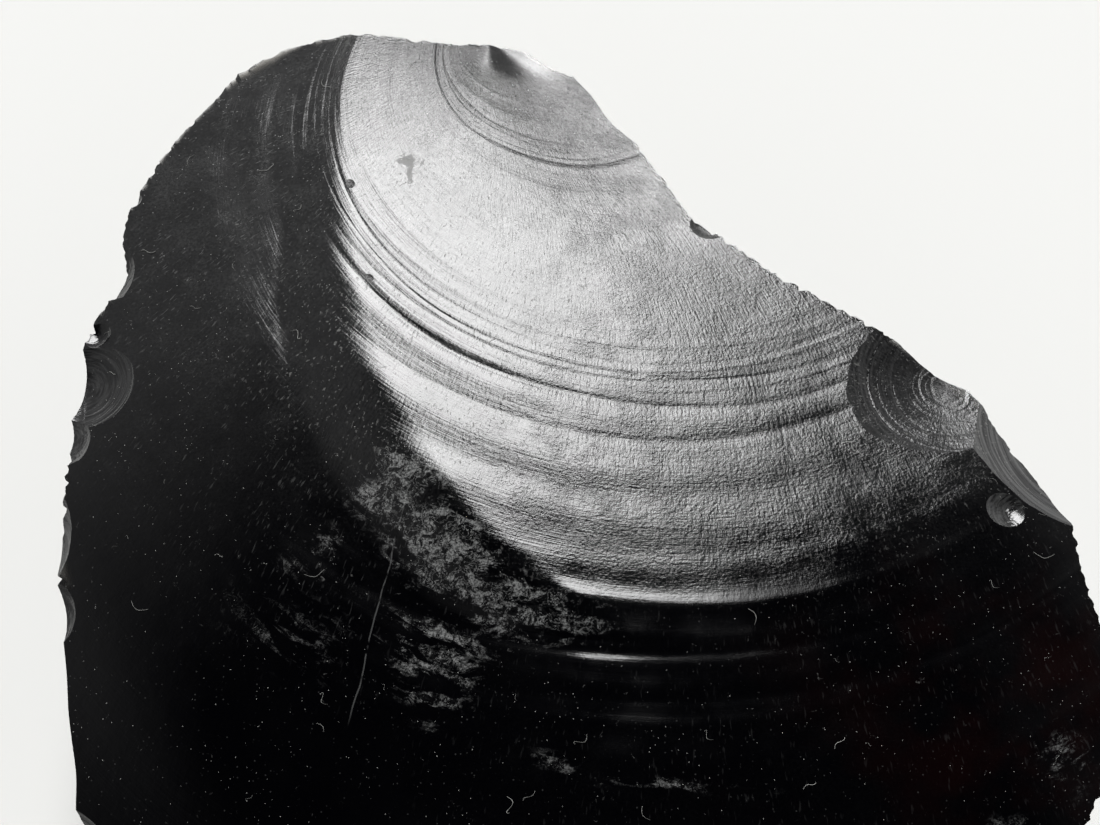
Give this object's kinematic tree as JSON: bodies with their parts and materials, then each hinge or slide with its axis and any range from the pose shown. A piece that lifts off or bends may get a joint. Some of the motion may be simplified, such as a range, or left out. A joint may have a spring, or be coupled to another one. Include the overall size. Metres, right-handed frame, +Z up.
{
  "type": "obsidian chunk",
  "caption": "Chunk of black obsidian lying on a flat facet, with a domed, ring-rippled fracture face on top, hollowed scars down its sides and sharp, chipped edges.",
  "frame": {"origin": "under the middle of the chunk, on the surface that it lies on", "axes": "+Z up, out of the ring-rippled face; the rings start at the far, +Y, edge and spread towards -Y; +X towards the end of the long slanting edge"},
  "size_m": [0.0796, 0.0844, 0.0331],
  "materials": {
    "obsidian": "gloss"
  },
  "bodies": {
    "root": {"chunk": "obsidian"}
  },
  "joints": []
}
